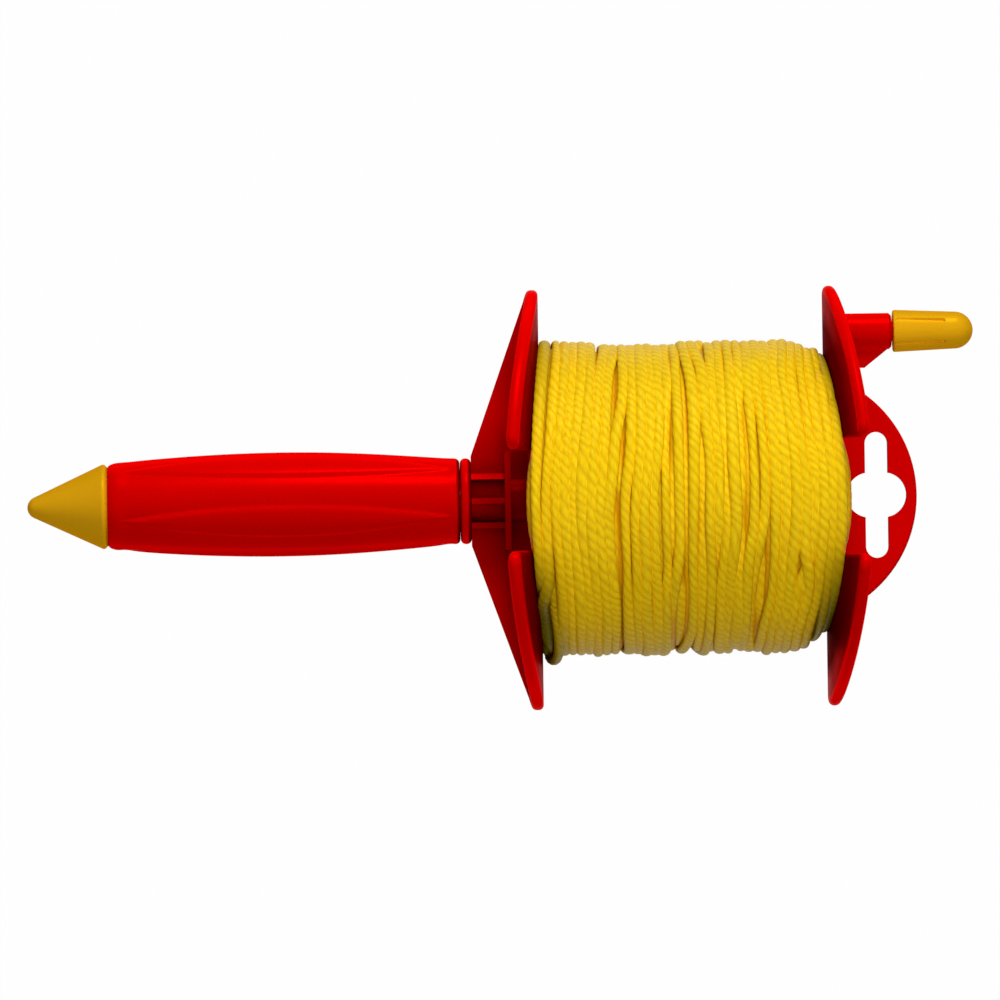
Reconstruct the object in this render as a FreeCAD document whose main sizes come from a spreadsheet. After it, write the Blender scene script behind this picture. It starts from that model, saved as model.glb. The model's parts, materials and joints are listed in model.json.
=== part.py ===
import FreeCAD, Part
import math
import os
import Sketcher

# String line reel: a barrel grip turns on a spindle, which carries a spool with a crank knob.
# The spin axis is X, the crank stands at +Y, and +Z is up when the reel lies on its two notches.
# The origin is on the spin axis, halfway along the reel. Sizes are millimetres and degrees.

sizes = {
    # cone that closes the grip
    "tip_length": 20.5,
    "tip_base_radius": 10.35,
    "tip_shoulder": 2.3,
    "tip_shoulder_round": 2.6,
    "tip_half_angle": 25.0,
    "tip_nose_round": 2.85,
    "spigot_length": 6.0,
    "spigot_wall": 1.8,
    # grip
    "grip_length": 89.1,
    "grip_end_radius": 10.85,
    "grip_middle_radius": 13.2,
    "grip_edge_round": 0.8,
    "grip_pad_count": 5,
    "grip_pad_height": 0.12,
    "grip_pad_inset": 1.55,
    "grip_pad_round": 11.0,
    "grip_pad_turn": 21.0,
    "grip_bore_radius": 8.0,
    "grip_bore_step": 0.8,
    "grip_journal_length": 15.0,
    "bush_depth": 14.0,
    "bush_length": 6.0,
    # spindle and what holds the grip on it
    "spindle_radius": 4.0,
    "spindle_grip_in_drum": 7.0,
    "washer_radius": 6.5,
    "washer_thickness": 1.2,
    "screw_head_radius": 3.6,
    "screw_head_height": 2.4,
    "screw_shank_radius": 1.95,
    "screw_shank_length": 10.0,
    "screw_slot_width": 1.0,
    "screw_slot_depth": 1.0,
    # collar, ribbed hub and webs
    "collar_width": 2.8,
    "collar_radius": 10.9,
    "collar_round": 0.9,
    "hub_length": 8.4,
    "hub_radius": 10.7,
    "hub_boss_radius": 5.6,
    "rib_thickness": 1.45,
    "rib_spacing": 6.2,
    "web_thickness": 2.6,
    "web_root": 11.4,
    "web_rim_inset": 1.3,
    "end_wall_thickness": 1.5,
    "end_wall_width": 24.8,
    "end_wall_height": 24.0,
    "channel_width": 4.6,
    # flanges
    "flange_radius": 53.35,
    "handle_flange_thickness": 3.1,
    "crank_flange_thickness": 2.8,
    "flange_bend": 205.0,
    "flange_gap": 72.5,
    "flange_rim_round": 1.3,
    "notch_floor": 14.0,
    "notch_corner": 3.0,
    "handle_notch_width": 25.2,
    "crank_notch_width": 29.0,
    # drum
    "drum_radius": 16.0,
    "drum_wall": 2.2,
    "plug_length": 9.0,
    "drum_screw_inset": 4.5,
    "drum_screw_head_radius": 2.4,
    "drum_screw_head_height": 1.2,
    "drum_screw_shank_radius": 1.4,
    "drum_screw_length": 8.0,
    "drum_screw_sink": 0.3,
    # crank post and its knob
    "crank_rim_inset": 11.75,
    "post_radius": 4.6,
    "post_length": 14.4,
    "post_chamfer": 0.6,
    "gusset_foot": 7.5,
    "gusset_drop": 9.25,
    "gusset_reach": 13.4,
    "pin_radius": 2.5,
    "pin_length": 12.5,
    "pin_head_radius": 2.9,
    "pin_head_length": 2.0,
    "knob_length": 20.4,
    "knob_mouth_radius": 5.35,
    "knob_nose_radius": 4.7,
    "knob_edge_round": 0.4,
    "knob_groove_count": 5,
    "knob_groove_width": 0.8,
    "knob_groove_floor": 4.5,
    "knob_groove_length": 12.5,
    "knob_groove_start": 1.0,
    "knob_groove_turn": 39.0,
    # hanging tab with its euro hole
    "tab_radius": 32.1,
    "tab_centre_inset": 11.8,
    "tab_thickness": 3.0,
    "tab_edge_round": 0.7,
    "hang_offset": 10.1,
    "hang_slot_length": 32.0,
    "hang_slot_width": 5.8,
    "hang_hole_length": 15.2,
    "hang_hole_width": 11.4,
    # wound line
    "winding_radius": 39.9,
    "line_diameter": 2.2,
    "line_turns": 24,
    "line_bend": 2.6,
    # clearances
    "axial_gap": 0.3,
    "knob_gap": 0.4,
    "running_clearance": 0.05,
    "push_clearance": 0.03,
    "winding_clearance": 0.3,
    "thread_clearance": 0.05,
}

doc = FreeCAD.newDocument("StringLineReel")
sheet = doc.addObject("Spreadsheet::Sheet", "Sizes")
for row, (alias, number) in enumerate(sizes.items(), 1):
    sheet.set(f"A{row}", alias)
    sheet.set(f"B{row}", str(number))
    sheet.setAlias(f"B{row}", alias)
doc.recompute()


class Size:
    # A number together with the sheet formula that gives it.
    def __init__(self, value, text):
        self.value = value
        self.text = text

    def join(self, other, sign, value):
        return Size(value, f"({self.text} {sign} {as_size(other).text})")

    def __add__(self, other):
        return self.join(other, "+", self.value + as_size(other).value)

    def __sub__(self, other):
        return self.join(other, "-", self.value - as_size(other).value)

    def __mul__(self, other):
        return self.join(other, "*", self.value * as_size(other).value)

    def __truediv__(self, other):
        return self.join(other, "/", self.value / as_size(other).value)

    def __neg__(self):
        return Size(-self.value, f"(-1 * {self.text})")


def as_size(number):
    return number if isinstance(number, Size) else Size(number, str(number))


def sine(angle):
    return Size(math.sin(math.radians(angle.value)), f"sin({angle.text} * 1 deg)")


def cosine(angle):
    return Size(math.cos(math.radians(angle.value)), f"cos({angle.text} * 1 deg)")


def arcsine(share):
    return Size(math.degrees(math.asin(share.value)), f"(asin({share.text}) / 1 deg)")


def sheet_size(alias):
    return Size(float(sheet.get(alias)), f"Sizes.{alias}")


tip_length = sheet_size("tip_length")
grip_length = sheet_size("grip_length")
axial_gap = sheet_size("axial_gap")
collar_width = sheet_size("collar_width")
handle_thickness = sheet_size("handle_flange_thickness")
crank_thickness = sheet_size("crank_flange_thickness")
flange_gap = sheet_size("flange_gap")
flange_bend = sheet_size("flange_bend")
flange_radius = sheet_size("flange_radius")
spindle_radius = sheet_size("spindle_radius")
running_clearance = sheet_size("running_clearance")
push_clearance = sheet_size("push_clearance")
post_length = sheet_size("post_length")
knob_gap = sheet_size("knob_gap")
knob_length = sheet_size("knob_length")
crank_throw = flange_radius - sheet_size("crank_rim_inset")
web_thickness = sheet_size("web_thickness")
drum_radius = sheet_size("drum_radius")
drum_bore = drum_radius - sheet_size("drum_wall")
plug_length = sheet_size("plug_length")
line_diameter = sheet_size("line_diameter")
winding_clearance = sheet_size("winding_clearance")

# Stations along the spin axis, counted from the cone's end to the knob's end.
hub_to_flange = (
    sheet_size("hub_length") + sheet_size("end_wall_thickness") + sheet_size("channel_width")
)
collar_from_end = tip_length + grip_length + axial_gap
hub_from_end = collar_from_end + collar_width
spool_from_end = hub_from_end + hub_to_flange + handle_thickness
crank_face_from_end = spool_from_end + flange_gap
post_from_end = crank_face_from_end + crank_thickness
knob_from_end = post_from_end + post_length + knob_gap
reel_length = knob_from_end + knob_length
reel_end = -reel_length / 2

grip_at = reel_end + tip_length
collar_at = reel_end + collar_from_end
hub_at = reel_end + hub_from_end
spool_at = reel_end + spool_from_end
crank_face_at = reel_end + crank_face_from_end
knob_at = reel_end + knob_from_end

bush_depth = sheet_size("bush_depth")
bush_length = sheet_size("bush_length")
grip_bore = sheet_size("grip_bore_radius")
washer_thickness = sheet_size("washer_thickness")
spindle_at = grip_at + bush_depth - axial_gap

along_x = FreeCAD.Rotation(FreeCAD.Vector(0, 1, 0), 90)
along_y = FreeCAD.Rotation(FreeCAD.Vector(1, 0, 0), -90)
along_z = FreeCAD.Rotation()
half_turn = FreeCAD.Rotation(FreeCAD.Vector(0, 1, 0), 180)


def place(item, x=0, y=0, z=0):
    for axis, distance in (("x", x), ("y", y), ("z", z)):
        item.setExpression(f"Placement.Base.{axis}", as_size(distance).text)
    return item


def rod(name, direction, radius, length, x=0, y=0, z=0):
    item = doc.addObject("Part::Cylinder", name)
    item.Placement = FreeCAD.Placement(FreeCAD.Vector(), direction)
    item.setExpression("Radius", as_size(radius).text)
    item.setExpression("Height", as_size(length).text)
    return place(item, x, y, z)


def block(name, length, width, height, x=0, y=0, z=0):
    # A box that starts at x and is centred on y and z.
    item = doc.addObject("Part::Box", name)
    item.setExpression("Length", as_size(length).text)
    item.setExpression("Width", as_size(width).text)
    item.setExpression("Height", as_size(height).text)
    return place(item, x, as_size(y) - as_size(width) / 2, as_size(z) - as_size(height) / 2)


def fused(name, items):
    item = doc.addObject("Part::MultiFuse", name)
    item.Shapes = items
    item.Refine = True
    return item


def cut(name, base, tools):
    item = doc.addObject("Part::Cut", name)
    item.Base = base
    item.Tool = tools[0] if len(tools) == 1 else fused(name + "_tools", tools)
    item.Refine = True
    return item


def shared(name, items):
    item = doc.addObject("Part::MultiCommon", name)
    item.Shapes = items
    return item


def rounded(name, base, radius, wanted):
    doc.recompute()
    edges = [n for n, edge in enumerate(base.Shape.Edges, 1) if wanted(edge)]
    item = doc.addObject("Part::Fillet", name)
    item.Base = base
    item.Edges = [(n, radius.value, radius.value) for n in edges]
    return item


def fix_point(sketch, curve, end, x, y):
    for kind, axis, distance in (("DistanceX", -2, x), ("DistanceY", -1, y)):
        if isinstance(distance, Size):
            number = sketch.addConstraint(
                Sketcher.Constraint(kind, -1, 1, curve, end, distance.value)
            )
            sketch.setExpression(f"Constraints[{number}]", distance.text)
        else:
            sketch.addConstraint(Sketcher.Constraint("PointOnObject", curve, end, axis))


def arc_between(start, end, radius):
    # An arc under half a circle: a positive radius turns left on the way, a negative one right.
    chord = end - start
    middle = (start + end) / 2
    left = FreeCAD.Vector(-chord.y, chord.x, 0).normalize()
    side = 1 if radius > 0 else -1
    rise = math.sqrt(radius**2 - (chord.Length / 2) ** 2)
    centre = middle + left * rise * side
    return Part.Arc(start, centre - left * abs(radius) * side, end)


def draw(sketch, corners):
    # Closed outline: each corner is (x, y), or (x, y, radius) when an arc leads on from it.
    spots = [FreeCAD.Vector(as_size(c[0]).value, as_size(c[1]).value, 0) for c in corners]
    ends = []
    for n, corner in enumerate(corners):
        start = spots[n]
        end = spots[(n + 1) % len(spots)]
        if len(corner) == 2:
            curve = sketch.addGeometry(Part.LineSegment(start, end))
            ends.append((curve, 1, 2))
        else:
            curve = sketch.addGeometry(arc_between(start, end, corner[2].value))
            radius = corner[2] if corner[2].value > 0 else -corner[2]
            number = sketch.addConstraint(Sketcher.Constraint("Radius", curve, radius.value))
            sketch.setExpression(f"Constraints[{number}]", radius.text)
            begins = sketch.getPoint(curve, 1).distanceToPoint(start) < 1e-6
            ends.append((curve, 1, 2) if begins else (curve, 2, 1))
    for n, corner in enumerate(corners):
        curve, first, last = ends[n]
        before, before_first, before_last = ends[n - 1]
        sketch.addConstraint(Sketcher.Constraint("Coincident", before, before_last, curve, first))
        fix_point(sketch, curve, first, corner[0], corner[1])


def outline(body, name, corners):
    sketch = body.newObject("Sketcher::SketchObject", name)
    plane = next(f for f in body.Origin.OriginFeatures if f.Role == "XY_Plane")
    sketch.AttachmentSupport = (plane, [""])
    sketch.MapMode = "FlatFace"
    draw(sketch, corners)
    return sketch


def turned(name, corners):
    # The outline gives the place along the axis and the radius there.
    body = doc.addObject("PartDesign::Body", name)
    sketch = outline(body, name + "_outline", corners)
    turn = body.newObject("PartDesign::Revolution", name + "_turned")
    turn.Profile = sketch
    turn.ReferenceAxis = (sketch, ["H_Axis"])
    turn.Angle = 360
    return body


def plate(name, thickness, corners):
    # A flat plate in the XY plane, as thick above the plane as below it.
    body = doc.addObject("PartDesign::Body", name)
    sketch = outline(body, name + "_outline", corners)
    pad = body.newObject("PartDesign::Pad", name + "_pad")
    pad.Profile = sketch
    pad.Midplane = True
    pad.setExpression("Length", thickness.text)
    return body


def tip_cap():
    nose = sheet_size("tip_nose_round")
    angle = sheet_size("tip_half_angle")
    base = sheet_size("tip_base_radius")
    shoulder = tip_length - sheet_size("tip_shoulder")
    spigot = grip_bore - push_clearance
    hollow = spigot - sheet_size("spigot_wall")
    spigot_end = tip_length + sheet_size("spigot_length")
    hollow_start = tip_length - sheet_size("tip_shoulder")
    corners = [
        (0, 0, -nose),
        (nose - nose * sine(angle), nose * cosine(angle)),
        (shoulder, base, -sheet_size("tip_shoulder_round")),
        (tip_length, base),
        (tip_length, spigot),
        (spigot_end, spigot),
        (spigot_end, hollow),
        (hollow_start, hollow),
        (hollow_start, 0),
    ]
    return place(turned("tip_cap", corners), x=reel_end)


def grip():
    end_radius = sheet_size("grip_end_radius")
    edge = sheet_size("grip_edge_round")
    middle = sheet_size("grip_middle_radius")
    rise = middle - end_radius
    half = grip_length / 2 - edge
    barrel = (half * half + rise * rise) / (rise * 2)
    outside = turned("grip_barrel", [
        (0, 0),
        (0, end_radius - edge, -edge),
        (edge, end_radius, -barrel),
        (grip_length - edge, end_radius, -edge),
        (grip_length, end_radius - edge),
        (grip_length, 0),
    ])
    pads = [grip_pad(n, barrel, middle) for n in range(int(sizes["grip_pad_count"]))]
    journal = spindle_radius + running_clearance
    narrow = grip_bore - sheet_size("grip_bore_step")
    bush_end = bush_depth + bush_length
    journal_start = grip_length - sheet_size("grip_journal_length")
    hollow = turned("grip_hollow", [
        (0, 0),
        (0, grip_bore),
        (bush_end, grip_bore),
        (bush_end, narrow),
        (journal_start, narrow),
        (journal_start, journal),
        (grip_length, journal),
        (grip_length, 0),
    ])
    sleeve = cut("grip", fused("grip_outside", [outside] + pads), [hollow])
    return place(sleeve, x=grip_at)


def grip_pad(n, barrel, middle):
    # A slice of a large ring that stands proud of the barrel and sinks into it at both ends.
    height = sheet_size("grip_pad_height")
    half = grip_length / 2 - sheet_size("grip_pad_inset")
    tube = sheet_size("grip_pad_round")
    angle = sheet_size("grip_pad_turn") + as_size(360) / sheet_size("grip_pad_count") * n
    crest = half * half / ((half * half / (barrel * 2) + height) * 2)
    sweep = arcsine(half / crest) * 2
    ring = doc.addObject("Part::Torus", f"grip_pad_{n}")
    ring.setExpression("Radius1", (crest - tube).text)
    ring.setExpression("Radius2", tube.text)
    ring.setExpression("Angle3", sweep.text)
    upright = FreeCAD.Rotation(
        FreeCAD.Vector(0, 0, 1), FreeCAD.Vector(1, 0, 0), FreeCAD.Vector(0, 1, 0), "ZXY"
    )
    around_grip = FreeCAD.Rotation(FreeCAD.Vector(1, 0, 0), angle.value)
    to_one_side = FreeCAD.Rotation(FreeCAD.Vector(0, 0, 1), -sweep.value / 2)
    ring.Placement.Rotation = around_grip * upright * to_one_side
    centre = middle + height - crest
    return place(ring, grip_length / 2, -centre * sine(angle), centre * cosine(angle))


def grip_bush():
    outer = grip_bore - push_clearance
    bore = spindle_radius + running_clearance
    corners = [(0, bore), (0, outer), (bush_length, outer), (bush_length, bore)]
    return place(turned("grip_bush", corners), x=grip_at + bush_depth)


def spindle():
    in_drum = sheet_size("spindle_grip_in_drum")
    length = spool_at - spindle_at + in_drum
    hole = sheet_size("screw_shank_radius") + sheet_size("thread_clearance")
    hole_depth = sheet_size("screw_shank_length") - washer_thickness + axial_gap
    corners = [
        (0, hole),
        (0, spindle_radius),
        (length, spindle_radius),
        (length, 0),
        (hole_depth, 0),
        (hole_depth, hole),
    ]
    return place(turned("spindle", corners), x=spindle_at)


def spindle_washer():
    bore = sheet_size("screw_shank_radius") + sheet_size("thread_clearance")
    outer = sheet_size("washer_radius")
    corners = [(0, bore), (0, outer), (washer_thickness, outer), (washer_thickness, bore)]
    return place(turned("spindle_washer", corners), x=spindle_at - washer_thickness)


def spindle_screw():
    head = sheet_size("screw_head_radius")
    height = sheet_size("screw_head_height")
    shank = sheet_size("screw_shank_radius")
    end = height + sheet_size("screw_shank_length")
    blank = turned("spindle_screw_blank", [
        (0, 0),
        (0, head),
        (height, head),
        (height, shank),
        (end, shank),
        (end, 0),
    ])
    slot = block(
        "spindle_screw_slot",
        sheet_size("screw_slot_depth"),
        head * 2 + shank,
        sheet_size("screw_slot_width"),
    )
    screw = cut("spindle_screw", blank, [slot])
    return place(screw, x=spindle_at - washer_thickness - height)


def collar_ring():
    outer = sheet_size("collar_radius")
    edge = sheet_size("collar_round")
    bore = spindle_radius + push_clearance
    corners = [
        (0, bore),
        (0, outer - edge, -edge),
        (edge, outer),
        (collar_width - edge, outer, -edge),
        (collar_width, outer - edge),
        (collar_width, bore),
    ]
    return place(turned("collar_ring", corners), x=collar_at)


def bend_rod(name, radius, face, outward):
    # A rod along Y round the centre of a flange's bend, with its seam on the far side.
    tall = flange_radius * 2.2
    direction = along_y if outward > 0 else half_turn * along_y
    centre = face + flange_bend * outward
    return rod(name, direction, radius, tall, centre, tall / -2)


def bowed_flange(name, face, outward, thickness, notch_width):
    # A plate bent about Y, so that the winding space widens above and below the axis.
    # Its inner face crosses the axis plane at face, and outward is -1 or 1 along X.
    inner = bend_rod(name + "_inner_face", flange_bend, face, outward)
    outer = bend_rod(name + "_outer_face", flange_bend - thickness, face, outward)
    shell = cut(name + "_shell", inner, [outer])
    bow = flange_radius * flange_radius / flange_bend
    reach = thickness + bow
    disc_start = face - reach if outward < 0 else face - thickness
    disc = rod(name + "_disc", along_x, flange_radius, reach + thickness, disc_start)
    floor = sheet_size("notch_floor")
    notches = [
        block(
            f"{name}_notch_{side}",
            reach * 2 + thickness * 2,
            notch_width,
            flange_radius,
            face - reach - thickness,
            0,
            (floor + flange_radius / 2) * sign,
        )
        for side, sign in (("above", 1), ("below", -1))
    ]
    wings = cut(name + "_wings", shared(name + "_plate", [shell, disc]), notches)
    corner = sheet_size("notch_corner")

    def crosses_the_plate(edge):
        ends = edge.Vertexes
        return len(ends) == 2 and abs(ends[0].X - ends[1].X) > thickness.value * 0.8 and (
            edge.Length < thickness.value * 1.5
        )

    eased = rounded(name + "_eased", wings, corner, crosses_the_plate)

    def on_a_face(edge):
        return edge.Length > thickness.value * 1.5 or not crosses_the_plate(edge)

    return rounded(name + "_rounded", eased, sheet_size("flange_rim_round"), on_a_face)


def drum_screw_places():
    # Two screws at each end of the drum, as their place along it and their side.
    inset = flange_gap / 2 - sheet_size("drum_screw_inset")
    return [(inset * end, end, side) for end in (-1, 1) for side in (-1, 1)]


def across_the_drum(name, radius, length, x, side):
    # A rod that starts just under the drum's skin at +Y or -Y and runs towards the axis.
    top = drum_radius - sheet_size("drum_screw_sink")
    return rod(name, along_y, radius, length, x, -top if side < 0 else top - length)


def drum_screw_holes(name, shift, wanted_end):
    # Stepped holes for the screws at one end of the drum, whose middle lies at shift.
    thread = sheet_size("thread_clearance")
    holes = []
    for n, (x, end, side) in enumerate(drum_screw_places()):
        if end != wanted_end:
            continue
        shank = sheet_size("drum_screw_shank_radius") + thread
        depth = sheet_size("drum_screw_length") + thread
        holes.append(across_the_drum(f"{name}_hole_{n}", shank, depth, x + shift, side))
        head = sheet_size("drum_screw_head_radius") + thread
        sunk = sheet_size("drum_screw_head_height") + thread
        sink = sheet_size("drum_screw_sink")
        seat = drum_radius - sink - sunk
        start = -drum_radius if side < 0 else seat
        holes.append(
            rod(f"{name}_recess_{n}", along_y, head, sunk + sink, x + shift, start)
        )
    return holes


def drum():
    half = flange_gap / 2
    tube = rod("drum_tube", along_x, drum_radius, flange_gap * 2, -flange_gap)
    bore = rod("drum_bore", along_x, drum_bore, flange_gap * 2, -flange_gap)
    ends = [
        bend_rod("drum_handle_end", flange_bend, -half, -1),
        bend_rod("drum_crank_end", flange_bend, half, 1),
    ]
    middle = as_size(0)
    holes = drum_screw_holes("drum_handle", middle, -1) + drum_screw_holes("drum_crank", middle, 1)
    return place(cut("drum", tube, [bore] + ends + holes), x=spool_at + half)


def drum_screws():
    screws = []
    for n, (x, end, side) in enumerate(drum_screw_places()):
        stem = across_the_drum(
            f"drum_screw_stem_{n}",
            sheet_size("drum_screw_shank_radius"),
            sheet_size("drum_screw_length"),
            x,
            side,
        )
        head = across_the_drum(
            f"drum_screw_head_{n}",
            sheet_size("drum_screw_head_radius"),
            sheet_size("drum_screw_head_height"),
            x,
            side,
        )
        screws.append(fused(f"drum_screw_{n}", [stem, head]))
    group = doc.addObject("Part::Compound", "drum_screws")
    group.Links = screws
    return place(group, x=spool_at + flange_gap / 2)


def handle_frame():
    # Starts at the collar's face, and its flange's inner face lies at face.
    face = hub_to_flange + handle_thickness
    notch = sheet_size("handle_notch_width")
    flange = bowed_flange("handle_flange", face, -1, handle_thickness, notch)
    root = sheet_size("web_root")
    top = flange_radius - sheet_size("web_rim_inset")
    inside = hub_to_flange + handle_thickness / 2
    web = plate("handle_web", web_thickness, [
        (0, root),
        (0, -root),
        (hub_to_flange, -top),
        (inside, -top),
        (inside, top),
        (hub_to_flange, top),
    ])
    hub_length = sheet_size("hub_length")
    wall = block(
        "handle_end_wall",
        sheet_size("end_wall_thickness"),
        sheet_size("end_wall_width"),
        sheet_size("end_wall_height"),
        hub_length,
    )
    hub_radius = sheet_size("hub_radius")
    ribs = fused("handle_rib_plates", [
        block(
            f"handle_rib_{n}",
            hub_length,
            sheet_size("rib_thickness"),
            hub_radius * 2,
            0,
            sheet_size("rib_spacing") * n,
        )
        for n in (-1, 0, 1)
    ])
    hub_round = rod("handle_hub_round", along_x, hub_radius, hub_length)
    hub = shared("handle_hub", [ribs, hub_round])
    boss = rod("handle_boss", along_x, sheet_size("hub_boss_radius"), face)
    plug = rod(
        "handle_plug",
        along_x,
        drum_bore - push_clearance,
        face - inside + plug_length,
        inside,
    )
    whole = fused("handle_frame_whole", [flange, web, wall, hub, boss, plug])
    bore_length = face + sheet_size("spindle_grip_in_drum")
    bore = rod("handle_bore", along_x, spindle_radius + push_clearance, bore_length)
    holes = drum_screw_holes("handle_frame", face + flange_gap / 2, -1)
    frame = cut("handle_frame", whole, [bore] + holes)
    return place(frame, x=hub_at)


def round_ended_slot(name, x, length, width, thickness, direction):
    # A tool for a slot through a plate in the XY plane, centred on x and on the spin axis.
    straight = length - width
    if direction == "y":
        middle = block(name + "_middle", width, straight, thickness, x - width / 2)
        ends = [(x, straight / -2), (x, straight / 2)]
    else:
        middle = block(name + "_middle", straight, width, thickness, x - straight / 2)
        ends = [(x - straight / 2, 0), (x + straight / 2, 0)]
    rounds = [
        rod(f"{name}_end_{n}", along_z, width / 2, thickness, end_x, end_y, thickness / -2)
        for n, (end_x, end_y) in enumerate(ends)
    ]
    return [middle] + rounds


def hanging_tab(inside):
    radius = sheet_size("tab_radius")
    thickness = sheet_size("tab_thickness")
    centre = crank_thickness - sheet_size("tab_centre_inset")
    disc = rod("tab_disc", along_z, radius, thickness, centre, 0, thickness / -2)
    eased = rounded("tab_eased", disc, sheet_size("tab_edge_round"), lambda edge: edge.isClosed())
    beyond = block("tab_beyond", radius * 2, radius * 2, thickness * 2, inside)
    hole_at = crank_thickness + sheet_size("hang_offset")
    deep = thickness * 2
    slot = round_ended_slot(
        "hang_slot", hole_at, sheet_size("hang_slot_length"), sheet_size("hang_slot_width"), deep, "y"
    )
    hole = round_ended_slot(
        "hang_hole", hole_at, sheet_size("hang_hole_length"), sheet_size("hang_hole_width"), deep, "x"
    )
    return cut("hanging_tab", shared("tab_outside_flange", [eased, beyond]), slot + hole)


def crank_post(inside):
    # The post, the pin the knob turns on and the pin's snap head, all round one axis.
    radius = sheet_size("post_radius")
    chamfer = sheet_size("post_chamfer")
    pin = sheet_size("pin_radius")
    head = sheet_size("pin_head_radius")
    end = crank_thickness + post_length
    pin_end = end + sheet_size("pin_length")
    head_start = pin_end - sheet_size("pin_head_length")
    post = turned("crank_post", [
        (inside, 0),
        (inside, radius),
        (end - chamfer, radius),
        (end, radius - chamfer),
        (end, pin),
        (head_start, pin),
        (head_start, head),
        (pin_end, head),
        (pin_end, 0),
    ])
    return place(post, y=crank_throw)


def crank_frame():
    # Starts at its flange's inner face; the hanging tab, gusset and post stand beyond the outer one.
    inside = crank_thickness / 2
    notch = sheet_size("crank_notch_width")
    flange = bowed_flange("crank_flange", as_size(0), 1, crank_thickness, notch)
    foot = crank_thickness + sheet_size("gusset_foot")
    reach = crank_thickness + sheet_size("gusset_reach")
    low = crank_throw - sheet_size("gusset_drop")
    high = crank_throw - sheet_size("post_radius")
    gusset = plate("crank_gusset", web_thickness, [
        (inside, low),
        (foot, low),
        (reach, high),
        (reach, crank_throw),
        (inside, crank_throw),
    ])
    plug = rod(
        "crank_plug", along_x, drum_bore - push_clearance, plug_length + inside, -plug_length
    )
    parts = [flange, hanging_tab(inside), gusset, crank_post(inside), plug]
    whole = fused("crank_frame_whole", parts)
    holes = drum_screw_holes("crank_frame", flange_gap / -2, 1)
    frame = cut("crank_frame", whole, holes)
    return place(frame, x=crank_face_at)


def knob():
    edge = sheet_size("knob_edge_round")
    mouth = sheet_size("knob_mouth_radius")
    nose = sheet_size("knob_nose_radius")
    bore = sheet_size("pin_radius") + running_clearance
    wide = sheet_size("pin_head_radius") + running_clearance
    pin_end = sheet_size("pin_length") - knob_gap
    wide_end = pin_end + axial_gap
    wide_start = pin_end - sheet_size("pin_head_length") - axial_gap
    shell = turned("knob_shell", [
        (0, bore),
        (0, mouth - edge, -edge),
        (edge, mouth),
        (knob_length - nose, nose, -nose),
        (knob_length, 0),
        (wide_end, 0),
        (wide_end, wide),
        (wide_start, wide),
        (wide_start, bore),
    ])
    grooves = [knob_groove(n, mouth) for n in range(int(sizes["knob_groove_count"]))]
    return place(cut("knob", shell, grooves), x=knob_at, y=crank_throw)


def knob_groove(n, mouth):
    width = sheet_size("knob_groove_width")
    floor = sheet_size("knob_groove_floor")
    angle = sheet_size("knob_groove_turn") + as_size(360) / sheet_size("knob_groove_count") * n
    groove = doc.addObject("Part::Box", f"knob_groove_{n}")
    groove.setExpression("Length", sheet_size("knob_groove_length").text)
    groove.setExpression("Width", width.text)
    groove.setExpression("Height", mouth.text)
    groove.Placement.Rotation = FreeCAD.Rotation(FreeCAD.Vector(1, 0, 0), angle.value)
    side = -width / 2
    return place(
        groove,
        sheet_size("knob_groove_start"),
        side * cosine(angle) - floor * sine(angle),
        side * sine(angle) + floor * cosine(angle),
    )


def winding_sizes():
    # Radius of the line's middle in the outer layer, its own radius, and where it dives to.
    half_line = line_diameter / 2
    middle = sheet_size("winding_radius") - half_line
    bend = sheet_size("line_bend")
    return middle, half_line, bend, middle - bend - line_diameter


def line_core():
    middle, half_line, bend, floor = winding_sizes()
    half = flange_gap / 2
    outside = middle - half_line - winding_clearance
    mass = rod("line_core_round", along_x, outside, flange_gap * 2, -flange_gap)
    tools = [
        rod("line_core_bore", along_x, drum_radius + push_clearance, flange_gap * 2, -flange_gap),
        bend_rod("line_core_handle_end", flange_bend + winding_clearance, -half, -1),
        bend_rod("line_core_crank_end", flange_bend + winding_clearance, half, 1),
    ]
    bow = middle * middle / (flange_bend * 2)
    reach = (half - winding_clearance - half_line) / half * (half + bow)
    room = half_line + winding_clearance
    width = bend + room + winding_clearance
    deep = outside - floor + winding_clearance
    for name, x, side in (("first", -reach, -1), ("last", reach, 1)):
        tools.append(
            block(
                f"line_{name}_pocket",
                room * 2,
                width,
                deep,
                x - room,
                (width / 2 - winding_clearance) * side,
                -floor - deep / 2,
            )
        )
    return place(cut("line_core", mass, tools), x=spool_at + half)


def winding_point(turn):
    # Place and heading of the line after some turns from the underside, nearest the grip first.
    # Each turn lies as bowed as its share of the way from the middle to a flange.
    middle, half_line = (size.value for size in winding_sizes()[:2])
    half = flange_gap.value / 2
    first = 1 - (winding_clearance.value + half_line) / half
    turns = sizes["line_turns"]
    share = first * (2 * turn / turns - 1)
    angle = math.tau * turn - math.pi / 2
    y = middle * math.cos(angle)
    z = middle * math.sin(angle)
    y_slope = -math.tau * z
    z_slope = math.tau * y
    x = share * (half + z**2 / (2 * flange_bend.value))
    x_slope = 2 * first / turns * (half + z**2 / (2 * flange_bend.value))
    x_slope += share * z * z_slope / flange_bend.value
    heading = FreeCAD.Vector(x_slope, y_slope, z_slope).normalize()
    return FreeCAD.Vector(x, y, z), heading


def arc_to(start, corner, end):
    # The arc that leaves start towards the corner and reaches end coming from it.
    middle = (start + end) / 2
    half_chord = (end - start).Length / 2
    rise = corner - middle
    turn = math.atan2(rise.Length, half_chord)
    top = middle + rise.normalize() * half_chord * math.tan(turn / 2)
    return Part.Arc(start, top, end).toShape()


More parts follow.
